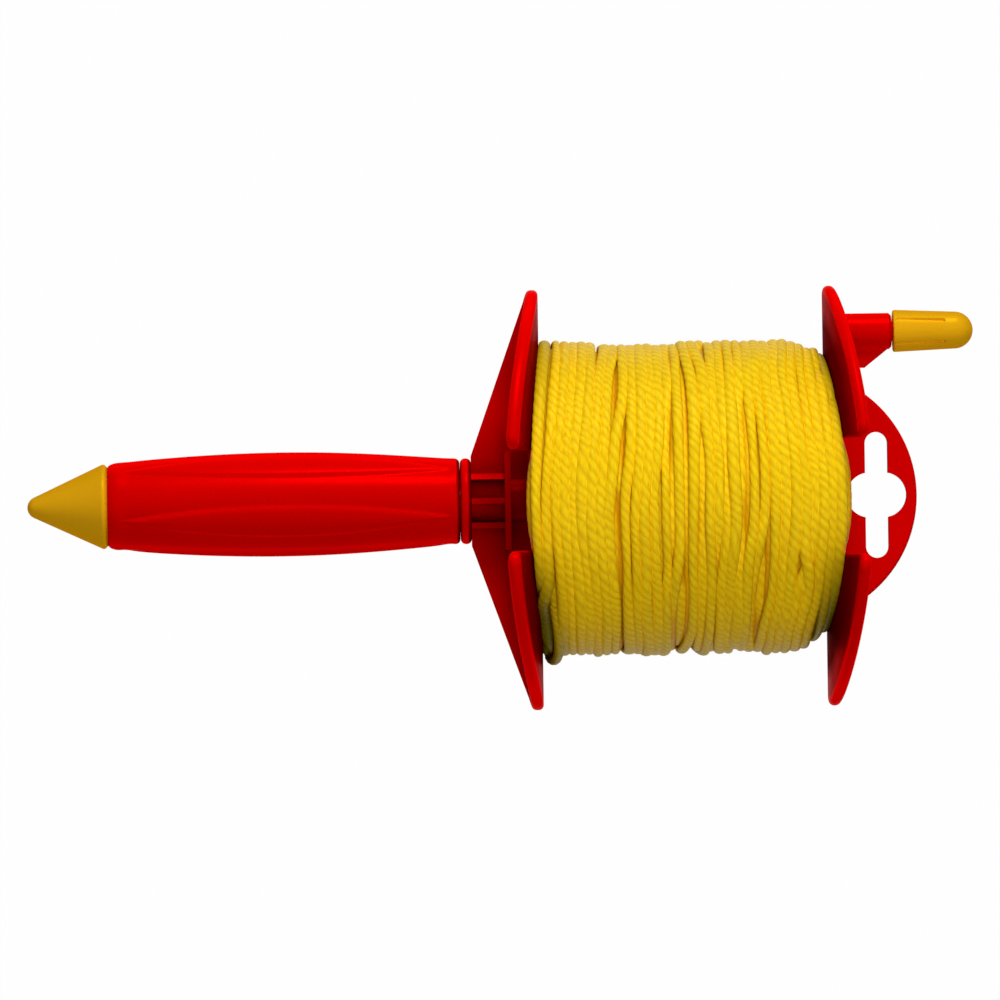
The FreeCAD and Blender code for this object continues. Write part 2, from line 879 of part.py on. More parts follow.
def two_arcs(start, heading, end, end_heading):
    # Two arcs that meet smoothly halfway, with control legs of one length.
    chord = end - start
    along = chord.dot(heading + end_heading)
    spread = 1 - heading.dot(end_heading)
    leg = (math.sqrt(along**2 + 2 * spread * chord.dot(chord)) - along) / (2 * spread)
    first = start + heading * leg
    second = end - end_heading * leg
    joint = (first + second) / 2
    return [arc_to(start, first, joint), arc_to(joint, second, end)]


def dive(spot, heading, way):
    # Bend from the winding towards the axis, then one line diameter straight in.
    inwards = FreeCAD.Vector(0, 0, 1)
    bend = sizes["line_bend"]
    corner = spot + heading * bend * way
    below = corner + inwards * bend
    floor = below + inwards * sizes["line_diameter"]
    return corner, below, floor


def line_outer_layer():
    quarters = 4 * int(sizes["line_turns"])
    stops = [winding_point(quarter / 4) for quarter in range(quarters + 1)]
    first, first_heading = stops[0]
    last, last_heading = stops[-1]
    corner, below, floor = dive(first, first_heading, -1)
    section = Part.Wire([Part.Circle(floor, below - floor, sizes["line_diameter"] / 2).toShape()])
    edges = [Part.LineSegment(floor, below).toShape(), arc_to(below, corner, first)]
    for (start, heading), (end, end_heading) in zip(stops, stops[1:]):
        edges += two_arcs(start, heading, end, end_heading)
    corner, below, floor = dive(last, last_heading, 1)
    edges += [arc_to(last, corner, below), Part.LineSegment(below, floor).toShape()]
    route = Part.Wire(edges)
    item = doc.addObject("Part::Feature", "line_outer_layer")
    item.Shape = route.makePipeShell([section], True, False)
    report_winding(route, item.Shape)
    return place(item, x=spool_at + flange_gap / 2)


def report_winding(route, tube):
    # Least gap between stretches that are not neighbours along the line.
    diameter = sizes["line_diameter"]
    step = diameter / 2
    count = int(route.Length / step)
    spots = route.discretize(count)
    apart = 8
    turn_steps = int(math.tau * sizes["winding_radius"] / step) + apart
    gap = min(
        spots[n].distanceToPoint(spots[m])
        for n in range(count)
        for m in range(n + apart, min(n + turn_steps, count))
    ) - diameter
    share = tube.Volume / (math.pi * diameter**2 / 4 * route.Length)
    tightest = min(edge.Curve.Radius for edge in route.Edges if hasattr(edge.Curve, "Radius"))
    print(f"line: {route.Length:.0f} mm drawn, least gap {gap:.2f} mm")
    print(f"line: tightest bend {tightest:.1f} mm, volume is {share:.4f} of section times length")


nodes = [
    grip(),
    tip_cap(),
    grip_bush(),
    spindle(),
    spindle_washer(),
    spindle_screw(),
    collar_ring(),
    handle_frame(),
    drum(),
    drum_screws(),
    crank_frame(),
    knob(),
    line_core(),
    line_outer_layer(),
]
doc.recompute()

failed = [item.Name for item in doc.Objects if {"Invalid", "Error"} & set(item.State)]
failed += [node.Label for node in nodes if node.Shape.isNull() or not node.Shape.isValid()]
if failed:
    raise SystemExit("these did not build: " + ", ".join(failed))

os.makedirs("parts", exist_ok=True)
for node in nodes:
    node.Shape.exportStep(f"parts/{node.Label}.step")
    box = node.Shape.BoundBox
    print(
        f"{node.Label}: {len(node.Shape.Solids)} solid, {node.Shape.Volume:.0f} mm3, "
        f"x {box.XMin:.2f} to {box.XMax:.2f}, y {box.YMin:.2f} to {box.YMax:.2f}, "
        f"z {box.ZMin:.2f} to {box.ZMax:.2f}"
    )
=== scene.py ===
import bpy
import json
import math
import numpy as np
from mathutils import Matrix, Vector


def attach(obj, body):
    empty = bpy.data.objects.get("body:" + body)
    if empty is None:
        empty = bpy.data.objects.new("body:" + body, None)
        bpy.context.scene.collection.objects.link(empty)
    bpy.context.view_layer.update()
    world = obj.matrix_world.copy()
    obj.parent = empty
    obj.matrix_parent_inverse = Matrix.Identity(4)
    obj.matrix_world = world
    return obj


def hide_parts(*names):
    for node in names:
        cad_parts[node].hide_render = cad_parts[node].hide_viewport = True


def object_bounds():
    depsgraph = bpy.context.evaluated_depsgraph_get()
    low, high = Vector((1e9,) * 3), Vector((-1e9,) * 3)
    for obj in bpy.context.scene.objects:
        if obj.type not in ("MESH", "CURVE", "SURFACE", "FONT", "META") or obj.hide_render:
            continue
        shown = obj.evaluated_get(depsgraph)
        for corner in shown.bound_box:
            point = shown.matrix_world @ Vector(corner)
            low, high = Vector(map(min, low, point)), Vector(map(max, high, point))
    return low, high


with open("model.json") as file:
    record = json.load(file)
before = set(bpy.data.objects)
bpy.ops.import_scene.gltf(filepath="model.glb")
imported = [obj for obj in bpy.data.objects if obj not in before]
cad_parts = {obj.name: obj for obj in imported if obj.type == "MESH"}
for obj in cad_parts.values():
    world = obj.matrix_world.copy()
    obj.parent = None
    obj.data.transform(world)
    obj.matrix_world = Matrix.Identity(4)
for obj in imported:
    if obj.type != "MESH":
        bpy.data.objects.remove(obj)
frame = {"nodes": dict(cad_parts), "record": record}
cadBox = [list(corner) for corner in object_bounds()]
mm = 0.001
print("frame loaded:", len(frame["nodes"]), "nodes")

# the camera looks straight down on the reel, which lies with its crank post towards the window
cameraLook = {
    "distance": 2400, "pictureWidth": 254, "over": (-35, 0.18), "middle": (-0.4, 0.18), "roll": 0.885,
    "sensor": 36, "clip": (0.1, 20),
}


def placeCamera(look):
    data = bpy.data.cameras.new("camera")
    data.sensor_width = look["sensor"]
    data.lens = look["sensor"] * look["distance"] / look["pictureWidth"]
    data.clip_start, data.clip_end = look["clip"]
    camera = bpy.data.objects.new("camera", data)
    bpy.context.scene.collection.objects.link(camera)
    place = Vector((*look["over"], look["distance"])) * mm
    back = (place - Vector((*look["middle"], 0)) * mm).normalized()
    roll = math.radians(look["roll"])
    right = Vector((math.cos(roll), -math.sin(roll), 0))
    right = (right - back * right.dot(back)).normalized()
    turn = Matrix((right, back.cross(right), back)).transposed()
    camera.matrix_world = Matrix.Translation(place) @ turn.to_4x4()
    bpy.context.scene.camera = camera


placeCamera(cameraLook)
print("camera placed")


# a channel of an sRGB colour is divided by 12.92 when dark and otherwise raised to the power 2.4
def linearColour(code):
    channels = np.array([int(code[n:n + 2], 16) for n in (1, 3, 5)]) / 255
    linear = np.where(channels <= 0.04045, channels / 12.92, ((channels + 0.055) / 1.055) ** 2.4)
    return (*linear.tolist(), 1.0)


def addNode(tree, kind, links=None, values=None, **settings):
    node = tree.nodes.new(kind)
    for name, value in settings.items():
        setattr(node, name, value)
    for name, value in (values or {}).items():
        node.inputs[name].default_value = value
    for name, socket in (links or {}).items():
        tree.links.new(socket, node.inputs[name])
    return node


# a sum on numbers and other nodes' values, in the order of the maths node's inputs
def calculated(tree, operation, *terms, **settings):
    node = addNode(tree, "ShaderNodeMath", operation=operation, **settings)
    for n, term in enumerate(terms):
        if isinstance(term, (int, float)):
            node.inputs[n].default_value = term
        else:
            tree.links.new(term, node.inputs[n])
    return node.outputs[0]


# a value carried from one range to another and held at both ends
def carried(tree, value, source, target=(0, 1), **settings):
    ends = {"From Min": source[0], "From Max": source[1], "To Min": target[0], "To Max": target[1]}
    return addNode(tree, "ShaderNodeMapRange", {"Value": value}, ends, **settings).outputs["Result"]


# two colours mixed, each a code or another node's colour
def blended(tree, share, first, second):
    node = addNode(tree, "ShaderNodeMix", {"Factor": share}, data_type="RGBA")
    for n, colour in ((6, first), (7, second)):
        if isinstance(colour, str):
            node.inputs[n].default_value = linearColour(colour)
        else:
            tree.links.new(colour, node.inputs[n])
    return node.outputs[2]


def noise(tree, place, size, detail):
    return addNode(tree, "ShaderNodeTexNoise", {"Vector": place},
                   {"Scale": 1 / size, "Detail": detail}).outputs["Fac"]


def raiseBumps(tree, shader, height, depth):
    bump = addNode(tree, "ShaderNodeBump", {"Height": height}, {"Strength": 1.0, "Distance": depth * mm})
    tree.links.new(bump.outputs["Normal"], shader.inputs["Normal"])


def newMaterial(name, look):
    material = bpy.data.materials.new(name)
    material.use_nodes = True
    tree = material.node_tree
    shader = tree.nodes["Principled BSDF"]
    for socket, value in look["shader"].items():
        shader.inputs[socket].default_value = value
    return material, tree, shader


def inMetres(lengths):
    return [length * mm for length in lengths]


# what the hard finishes share; the hub's end range runs from high to low because the hub's painted shade ends
# there
hardLook = {
    "driftDetail": 2, "smearDetail": 4, "grainDetail": 3, "smearRange": (0.3, 0.7), "edgeBlend": 0.5,
    # the last two keys here and the hub keys below place the painted shade on the flanges' inner faces and in
    # the hub
    "polishRadii": (43, 51), "middle": 46.15, "innerShadeReach": (12, 36), "innerShadeRadii": (50.5, 52),
    "hubShadeRadii": (8, 24), "hubShadeStart": (-7.8, -7.4), "hubShadeEnd": (10.5, 9.5),
}
redPlasticLook = {
    **hardLook, "deep": "#C80000", "bright": "#D40100", "driftSize": 30, "smearSize": 9,
    "roughness": (0.28, 0.36), "grainSize": 0.7, "grainDepth": 0.012,
    "edgeGloss": 1.2, "edgePower": 1.4, "faceLoss": (0.9, 0.1), "edgeMost": 0.55,
    # the painted highlight's colour and its level, from the side away from the window to the side facing it
    "paintedSheenColour": "#FF0300", "paintedSheenLevel": (0.8, 2.8),
    # painted shade: the dark red laid on the flanges' inner faces and in the hub
    "paintedShade": "#580000", "innerShadeShare": 0.85, "hubShadeShare": 0.48,
    "shader": {"Specular IOR Level": 0.0, "Specular Tint": (1, 0, 0, 1)},
}
yellowPlasticLook = {
    **hardLook, "deep": "#DC9F0A", "bright": "#E4A812", "driftSize": 12, "smearSize": 5,
    "roughness": (0.26, 0.3), "grainSize": 0.6, "grainDepth": 0.01,
    "edgeGloss": 0.6, "edgePower": 1.4, "faceLoss": (0, 0), "edgeMost": 0.4,
    "shader": {"Specular IOR Level": 0.0, "Specular Tint": (1, 0.6, 0, 1)},
}
bushPlasticLook = {
    **hardLook, "deep": "#DDDAD0", "bright": "#E6E4DC", "driftSize": 6, "smearSize": 3,
    "roughness": (0.4, 0.5), "grainSize": 0.5, "grainDepth": 0.01,
    "shader": {},
}
steelLook = {
    **hardLook, "deep": "#B4B6B8", "bright": "#C6C8CA", "driftSize": 4, "smearSize": 1.5,
    "roughness": (0.25, 0.4), "grainSize": 0.3, "grainDepth": 0.004,
    "shader": {"Metallic": 1.0},
}


# where a point lies on the reel, and how far it faces along the spin axis and towards the window
def reelSpot(tree, place):
    normal = addNode(tree, "ShaderNodeNewGeometry").outputs["Normal"]
    facing = addNode(tree, "ShaderNodeSeparateXYZ", {"Vector": normal})
    flat = addNode(tree, "ShaderNodeVectorMath", {0: place}, {1: (0, 1, 1)}, operation="MULTIPLY")
    radius = addNode(tree, "ShaderNodeVectorMath", {0: flat.outputs[0]}, operation="LENGTH")
    along = addNode(tree, "ShaderNodeSeparateXYZ", {"Vector": place})
    return {"along": along.outputs["X"], "radius": radius.outputs["Value"],
            "endwise": facing.outputs["X"], "windowward": facing.outputs["Y"]}


# gloss in the plastic's own colour that grows towards the edges: less on faces square to the spin
# axis, unless near the flange's rim, which hands polish
def edgeGloss(tree, spot, look):
    edge = addNode(tree, "ShaderNodeLayerWeight", values={"Blend": look["edgeBlend"]}).outputs["Facing"]
    steep = calculated(tree, "POWER", edge, look["edgePower"])
    sideways = calculated(tree, "MULTIPLY", spot["endwise"], spot["endwise"])
    loss = carried(tree, spot["radius"], inMetres(look["polishRadii"]), look["faceLoss"])
    lost = calculated(tree, "MULTIPLY", sideways, loss)
    polish = calculated(tree, "MULTIPLY_ADD", lost, -look["edgeGloss"], look["edgeGloss"])
    share = calculated(tree, "MULTIPLY", steep, polish)
    return calculated(tree, "MINIMUM", share, look["edgeMost"])


# painted light: a painted highlight brightens the colour with the square of the edge gloss, most where it faces
# the window, and painted shade darkens the flanges' inner faces inside the rim and, less so, the hub
def paintedLightColour(tree, spot, gloss, colour, look):
    level = carried(tree, spot["windowward"], (-1, 1), look["paintedSheenLevel"])
    squared = calculated(tree, "MULTIPLY", gloss, gloss)
    lit = blended(tree, calculated(tree, "MULTIPLY", squared, level), colour, look["paintedSheenColour"])
    # painted shade on the flanges' inner faces, inside the rim
    fromMiddle = calculated(tree, "SUBTRACT", look["middle"] * mm, spot["along"])
    inward = calculated(tree, "MULTIPLY", fromMiddle, spot["endwise"])
    innerShare = carried(tree, inward, inMetres(look["innerShadeReach"]), (0, look["innerShadeShare"]))
    insideRim = carried(tree, spot["radius"], inMetres(look["innerShadeRadii"]), (1, 0))
    paintedShade = calculated(tree, "MULTIPLY", innerShare, insideRim)
    # painted shade on the hub, near the spin axis
    hub = carried(tree, spot["radius"], inMetres(look["hubShadeRadii"]), (look["hubShadeShare"], 0))
    afterStart = carried(tree, spot["along"], inMetres(look["hubShadeStart"]))
    beforeEnd = carried(tree, spot["along"], inMetres(look["hubShadeEnd"]))
    within = calculated(tree, "MULTIPLY", afterStart, beforeEnd)
    hubShade = calculated(tree, "MULTIPLY", hub, within)
    return blended(tree, calculated(tree, "MAXIMUM", paintedShade, hubShade), lit, look["paintedShade"])


# plastic or metal: a slow drift of the colour, an uneven gloss and a fine grain
def hardFinish(name, look):
    material, tree, shader = newMaterial(name, look)
    place = addNode(tree, "ShaderNodeTexCoord").outputs["Object"]
    drift = noise(tree, place, look["driftSize"] * mm, look["driftDetail"])
    colour = blended(tree, drift, look["deep"], look["bright"])
    smear = noise(tree, place, look["smearSize"] * mm, look["smearDetail"])
    tree.links.new(carried(tree, smear, look["smearRange"], look["roughness"]), shader.inputs["Roughness"])
    if "edgeGloss" in look:
        spot = reelSpot(tree, place)
        gloss = edgeGloss(tree, spot, look)
        tree.links.new(gloss, shader.inputs["Metallic"])
        # the red plastic's base colour gets a painted highlight at its edges and painted shade on the inner
        # faces and the hub
        if "paintedSheenColour" in look:
            colour = paintedLightColour(tree, spot, gloss, colour, look)
    tree.links.new(colour, shader.inputs["Base Color"])
    grain = noise(tree, place, look["grainSize"] * mm, look["grainDetail"])
    raiseBumps(tree, shader, grain, look["grainDepth"])
    return material


lineLook = {
    "strands": 3, "lay": 8.2, "crestPower": 0.9, "strandDepth": 0.05,
    "fibres": 16, "fibreLength": 3, "fibreShare": 0.8, "fibreDetail": 2,
    "yarnTurn": 0.75, "yarnRange": (0.35, 0.65), "yarnShade": 0.55, "driftLength": 90, "driftDetail": 1,
    # the first colour is painted shade in the hollows between the strands
    "hollow": "#E6B409", "face": "#F3CD0D", "faceBright": "#FCD813",
    # painted shade: darker where a turn lies deep under the others, and olive in the corners beside the flanges
    "depthShade": "#DA9C05", "corner": "#5C5802", "depthShadeRange": (0.9, 2.4),
    "shader": {"Roughness": 0.45, "Specular IOR Level": 0.15, "Specular Tint": (1, 0.85, 0.2, 1),
               "Subsurface Weight": 0.35, "Subsurface Radius": (1.0, 0.7, 0.08), "Subsurface Scale": 0.0009},
}


# twisted line: v runs once round the line and stays on its strand, u runs along it in millimetres. The strands'
# crests are streaked with yarns, painted shade darkens the hollows between them, and painted shade on the deeper
# turns and in the corners darkens the whole
def twistedLine(name, look):
    material, tree, shader = newMaterial(name, look)
    uv = addNode(tree, "ShaderNodeUVMap", uv_map="alongLine").outputs["UV"]
    chart = addNode(tree, "ShaderNodeSeparateXYZ", {"Vector": uv})
    along, across = chart.outputs["X"], chart.outputs["Y"]
    wave = calculated(tree, "COSINE", calculated(tree, "MULTIPLY", across, look["strands"] * math.pi))
    crest = calculated(tree, "POWER", calculated(tree, "ABSOLUTE", wave), look["crestPower"])
    straight = calculated(tree, "MULTIPLY_ADD", along, -look["yarnTurn"] / look["lay"], across)
    streak = calculated(tree, "MULTIPLY", straight, look["fibres"])
    run = calculated(tree, "MULTIPLY", along, 1 / look["fibreLength"])
    fibreSpot = addNode(tree, "ShaderNodeCombineXYZ", {"X": streak, "Y": run}).outputs[0]
    fibre = noise(tree, fibreSpot, 1, look["fibreDetail"])
    slow = calculated(tree, "MULTIPLY", along, 1 / look["driftLength"])
    driftSpot = addNode(tree, "ShaderNodeCombineXYZ", {"X": slow}).outputs[0]
    drift = noise(tree, driftSpot, 1, look["driftDetail"])
    face = blended(tree, drift, look["face"], look["faceBright"])
    yarn = carried(tree, fibre, look["yarnRange"], (1 - look["yarnShade"], 1 + look["yarnShade"] / 2))
    # painted shade: the hollows between the strands take the darker colour
    body = blended(tree, calculated(tree, "MULTIPLY", crest, yarn, use_clamp=True), look["hollow"], face)
    # painted shade by how deep a place lies under the turns above
    depthShade = addNode(tree, "ShaderNodeAttribute", attribute_name="depthShade").outputs["Fac"]
    under = carried(tree, depthShade, look["depthShadeRange"], interpolation_type="SMOOTHSTEP")
    shade = blended(tree, under, body, look["depthShade"])
    # painted shade in the corners beside the flanges
    corner = addNode(tree, "ShaderNodeAttribute", attribute_name="corner").outputs["Fac"]
    tree.links.new(blended(tree, corner, shade, look["corner"]), shader.inputs["Base Color"])
    shader.subsurface_method = "BURLEY"
    fibreHeight = calculated(tree, "MULTIPLY", fibre, look["fibreShare"])
    raiseBumps(tree, shader, calculated(tree, "ADD", crest, fibreHeight), look["strandDepth"])
    return material


finishes = {
    "red_plastic": hardFinish("redAbsMoulded", redPlasticLook),
    "yellow_plastic": hardFinish("yellowAbsMoulded", yellowPlasticLook),
    "bush_plastic": hardFinish("naturalAcetalMoulded", bushPlasticLook),
    "steel": hardFinish("zincPlatedSteel", steelLook),
    "yellow_line": twistedLine("twistedNylonLine", lineLook),
}
for part in frame["record"]["subparts"]:
    mesh = frame["nodes"][part["node"]].data
    mesh.materials.clear()
    mesh.materials.append(finishes[part["material_slot"]])
print("materials made")


# rows x columns of points become quads: the columns close on themselves, and the first and last rows
# end in fans or join up
def surfacePiece(name, points, chart, look, marks=None):
    rows, columns = points.shape[:2]
    ringed = look.get("rowsClose", False)
    row = np.arange(rows if ringed else rows - 1)[:, None]
    column = np.arange(columns)[None, :]
    nextRow, nextColumn = (row + 1) % rows, (column + 1) % columns
    quads = np.stack((row * columns + column, row * columns + nextColumn,
                      nextRow * columns + nextColumn, nextRow * columns + column), -1).reshape(-1, 4)
    uvs = np.stack((np.stack((chart[0][row, column], chart[0][row, nextColumn],
                              chart[0][nextRow, nextColumn], chart[0][nextRow, column]), -1),
                    np.stack((chart[1][row, column], chart[1][row, column + 1],
                              chart[1][nextRow, column + 1], chart[1][nextRow, column]), -1)), -1).reshape(-1, 2)
    places = points.reshape(-1, 3)
    fans = np.zeros((0, 3), int)
    if not ringed:
        centres = np.stack((points[0].mean(0), points[-1].mean(0)))
        first, last = len(places), len(places) + 1
        places = np.concatenate((places, centres))
        ring, after = column[0], nextColumn[0]
        start = np.stack((after, ring, np.full(columns, first)), 1)
        end = np.stack((ring, after, np.full(columns, last)), 1)
        end[:, :2] += (rows - 1) * columns
        fans = np.concatenate((start, end))
        uvs = np.concatenate((uvs, np.zeros((len(fans) * 3, 2))))
    a, b, c, d = (places[quads[:, n]] for n in range(4))
    volume = np.einsum("ij,ij->", a, np.cross(b, c) + np.cross(c, d))
    loops = np.concatenate((quads.reshape(-1), fans.reshape(-1)))
    starts = np.concatenate((np.arange(len(quads)) * 4, len(quads) * 4 + np.arange(len(fans)) * 3))
    mesh = bpy.data.meshes.new(name)
    mesh.vertices.add(len(places))
    mesh.vertices.foreach_set("co", (places * mm).astype(np.float32).reshape(-1))
    mesh.loops.add(len(loops))
    mesh.loops.foreach_set("vertex_index", loops.astype(np.int32))
    mesh.polygons.add(len(starts))
    mesh.polygons.foreach_set("loop_start", starts.astype(np.int32))
    mesh.update(calc_edges=True)
    layer = mesh.uv_layers.new(name="alongLine")
    layer.data.foreach_set("uv", uvs.astype(np.float32).reshape(-1))
    for mark, values in (marks or {}).items():
        layer = mesh.attributes.new(mark, "FLOAT", "POINT")
        layer.data.foreach_set("value", np.resize(values, len(places)).astype(np.float32))
    mesh.polygons.foreach_set("use_smooth", np.ones(len(starts), bool))
    if volume < 0:
        mesh.flip_normals()
    mesh.set_sharp_from_angle(angle=math.radians(look["sharpFrom"]))
    mesh.validate()
    mesh.materials.append(finishes[look["slot"]])
    piece = bpy.data.objects.new(name, mesh)
    bpy.context.scene.collection.objects.link(piece)
    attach(piece, look["body"])
    return piece


# the winding, measured from its middle and from the spin axis; notchHalf and bulge give the handle's
# side first
windingLook = {
    # the room between the flanges
    "middle": 46.15, "halfGap": 36.25, "bend": 205.0, "wallGap": 0.1, "drumRadius": 16.0,
    "notchHalf": (12.6, 14.5), "bulge": (1.2, 1.45), "bulgeInset": 0.5, "bulgePower": 4,
    # the bed that the turns lie on. The crank's drop gives its depths above and below and its reach,
    # the handle's its depth and reach, and in degrees where it is deepest and how far it spreads
    "bed": 37.2, "crankDrop": (3.8, 6.0, 11.0), "dropPower": 1.5, "handleDrop": (6.0, 5.5, 150, 38),
    "waves": 0.4, "waveLengths": (7.3, 11.1, 1.9, 17), "waveSwings": (1.3, 1.7),
    "wavePhases": (0.4, 0.5, 1.2, 0.6), "fineWave": 0.5,
    # how the turns are laid: slant is the share of the common slants, own of a turn's own
    "layers": ({"turns": 31, "slant": 0.4, "own": 0.1}, {"turns": 32, "slant": 1.0, "own": 1.0}),
    "stations": 240, "finer": 3, "seed": 17, "clumping": 0.2, "speeds": (0.25, 3), "endRest": 1.6,
    "groups": 13, "groupSlant": 1.25, "slantWaves": (1, 2, 3), "slantFall": 0.7,
    "ownSlant": 1.0, "ownKnots": 3, "endFade": 5, "layerRise": 0.95,
    # how they settle
    "diameter": 2.3, "press": 0.95, "rounds": 170, "straighten": (0.25, 0.5, 0.25), "nearest": 1e-4,
    "pushAcross": 0.55, "pushUp": 0.7, "orderPush": 0.02, "pull": 0.035, "pileMost": 2.8, "calm": 15,
    # the line's own section and drift
    "height": 2.15, "width": 2.85, "squareness": 2.0, "lay": 8.2, "sides": 12, "strandDepth": 0.055,
    "widthDrift": 0.14, "heightDrift": 0.22, "driftLength": 25, "layDrift": 0.15, "layDriftLength": 9,
    "turnsPerPiece": 11,
    # how dark the painted shade of the deeper turns and of the corners is
    "sunkBelow": 1.2, "sunkShare": 0.5, "coverReach": 1.9, "coverWidth": 0.55,
    "duskTurn": 1.7, "duskBeside": (1.3, 0.25), "duskReach": (3.0, 9.5), "duskShare": (0.7, 1.0),
    # the mass of hidden layers
    "massInset": 0.5, "massPitch": 2.0, "massRidge": 0.32, "massSteps": 6, "massSides": 240,
    "massGap": 0.3, "massEdge": 38.0, "massEdgeGap": 0.5, "massWallGap": 0.6,
    # the hidden mass is painted in deep shade
    "massMarks": {"depthShade": 3.0, "corner": 0.5},
    "slot": "yellow_line", "body": "spool", "sharpFrom": 60,
}


def smoothStep(share):
    share = np.clip(share, 0, 1)
    return share * share * (3 - 2 * share)


def smoothed(field, kernel, pad):
    return np.convolve(np.pad(field, pad, "edge"), kernel, "valid")


# angles round the spin axis, one turn from the underside
def turnAngles(stations):
    return np.arange(stations) / stations * 2 * np.pi - np.pi / 2


# half the gap plus the flange's bow (height squared over twice the bend), less a gap to the wall,
# plus what swells out between the flange halves
def wallRoom(look, angle, radius, side):
    tall, wide = radius * np.sin(angle), radius * np.cos(angle)
    notch = np.where(side < 0, *look["notchHalf"])
    bulge = np.clip(1 - (wide / (notch - look["bulgeInset"])) ** look["bulgePower"], 0, 1)
    swell = np.where(side < 0, *look["bulge"]) * bulge
    return look["halfGap"] + tall ** 2 / (2 * look["bend"]) - look["wallGap"] + swell


# low waves over the bed, whose lengths don't repeat together
def bedWaves(look, x, angle):
    broad, second, fine, slow = look["waveLengths"]
    broadSwing, fineSwing = look["waveSwings"]
    broadPhase, turnPhase, secondPhase, finePhase = look["wavePhases"]
    return (np.sin(x / broad + broadSwing * np.sin(angle + broadPhase)) * np.cos(angle - turnPhase)
            + np.sin(x / second - secondPhase + 2 * angle)
            + look["fineWave"] * np.sin(x / fine + fineSwing * np.sin(angle) + finePhase)
            * np.cos(angle / 2 + x / slow))


# the layer under the visible ones: level, but dropping towards the crank flange, and at the
# lower side towards the handle flange
def bedRadius(look, x, angle):
    room = wallRoom(look, angle, look["bed"], x)
    above, below, width = look["crankDrop"]
    turn = np.cos(angle)
    fall = np.where(turn > 0, above, below) * np.abs(turn) ** look["dropPower"]
    crank = fall * smoothStep(1 - (room - x) / width)
    depth, reach, lowest, spread = look["handleDrop"]
    fromLowest = np.abs(np.angle(np.exp(1j * (angle - np.radians(lowest)))))
    handle = depth * smoothStep(1 - fromLowest / np.radians(spread)) * smoothStep(1 - (room + x) / reach)
    return look["bed"] - crank - handle + look["waves"] * (bedWaves(look, x, angle) - 1)


def slowNoise(rng, count, knots, width):
    marks = rng.normal(size=knots + 1)
    own = np.interp(np.arange(count), np.linspace(0, count, knots + 1), marks)
    kernel = np.hanning(width)
    return np.convolve(own, kernel / kernel.sum(), "same")


# slants that neighbours share: slow waves round the reel whose sizes change across it
def sharedSlant(look, rng, share, angle):
    groups = look["groups"]
    at = (share + 1) / 2 * (groups - 1)
    slant = np.zeros_like(share)
    for harmonic in look["slantWaves"]:
        for wave in (np.cos, np.sin):
            size = np.interp(at, np.arange(groups), rng.normal(size=groups))
            slant += size * wave(harmonic * angle) / harmonic ** look["slantFall"]
    return slant


# each layer walks once across the reel at an uneven speed, the second one back again, with shared and
# own slants added
def firstTurns(look, angle):
    rng = np.random.default_rng(look["seed"])
    across, radius = [], []
    way = 1
    for level, layer in enumerate(look["layers"]):
        turns = layer["turns"]
        count = turns * look["stations"]
        speed = 1 + look["clumping"] * slowNoise(rng, count, turns, look["stations"])
        walk = np.cumsum(np.clip(speed, *look["speeds"]))
        share = np.clip((walk / walk[-1] * 2 - 1) * (1 + look["endRest"] / turns), -1, 1) * way
        tall = np.tile(angle, turns)
        shift = sharedSlant(look, rng, share, tall) * look["groupSlant"] * layer["slant"]
        own = slowNoise(rng, count, turns * look["ownKnots"], look["stations"] // look["ownKnots"])
        shift += own * look["ownSlant"] * layer["own"]
        room = wallRoom(look, tall, look["bed"], share) - look["width"] / 2
        fade = np.clip((1 - np.abs(share)) * look["endFade"], 0, 1)
        across.append((share * room + shift * fade).reshape(turns, -1))
        height = look["bed"] + level * look["diameter"] * look["layerRise"]
        radius.append(np.full((turns, look["stations"]), height))
        way = -way
    return np.concatenate(across), np.concatenate(radius)


# turns that overlap push each other apart (at most by half the overlap, and a later turn a little
# upwards), and tension straightens the line and pulls it down on the bed
def settle(look, across, radius, angle):
    least = look["diameter"] * look["press"]
    number = np.arange(len(across))
    order = np.sign(number[:, None] - number[None, :])[:, :, None].astype(np.float32)
    x, r = across.astype(np.float32), radius.astype(np.float32)
    kernel = np.array(look["straighten"], np.float32)
    lowest = -wallRoom(look, angle, look["bed"], -1) + look["width"] / 2
    highest = wallRoom(look, angle, look["bed"], 1) - look["width"] / 2
    for _ in range(look["rounds"]):
        over, up = x[:, None] - x[None], r[:, None] - r[None]
        apart = over * over + up * up
        near = (apart < least * least) & (order != 0)
        apart = np.sqrt(np.maximum(apart, look["nearest"]))
        push = np.where(near, (least - apart) / apart * 0.5, 0).astype(np.float32)
        later = np.where(near, look["orderPush"] * order, 0)
        x += look["pushAcross"] * (push * over).sum(1)
        r += look["pushUp"] * (push * up + later).sum(1) - look["pull"]
        for field in (x, r):
            flat = field.reshape(-1)
            flat[1:-1] = np.convolve(flat, kernel, "valid")
        bed = bedRadius(look, x, angle[None])
        r = np.clip(r, bed, bed + look["pileMost"])
        x = np.clip(x, lowest[None], highest[None])
    calm = np.hanning(look["calm"] + 2)[1:-1]
    calm = calm / calm.sum()
    return [smoothed(field.reshape(-1), calm, look["calm"] // 2).reshape(x.shape) for field in (x, r)]


# the settled turns, given more stations so that they run smoothly
def woundLine(look):
    stations, finer = look["stations"], look["finer"]
    angle = turnAngles(stations)
    settled = settle(look, *firstTurns(look, angle), angle)
    size = settled[0].size
    coarse, every = np.arange(size) * finer, np.arange(size * finer)
    kernel = np.hanning(2 * finer + 1)
    kernel /= kernel.sum()
    across, radius = (smoothed(np.interp(every, coarse, field.reshape(-1)), kernel, finer)
                      .reshape(-1, stations * finer) for field in settled)
    return across, radius, turnAngles(stations * finer)


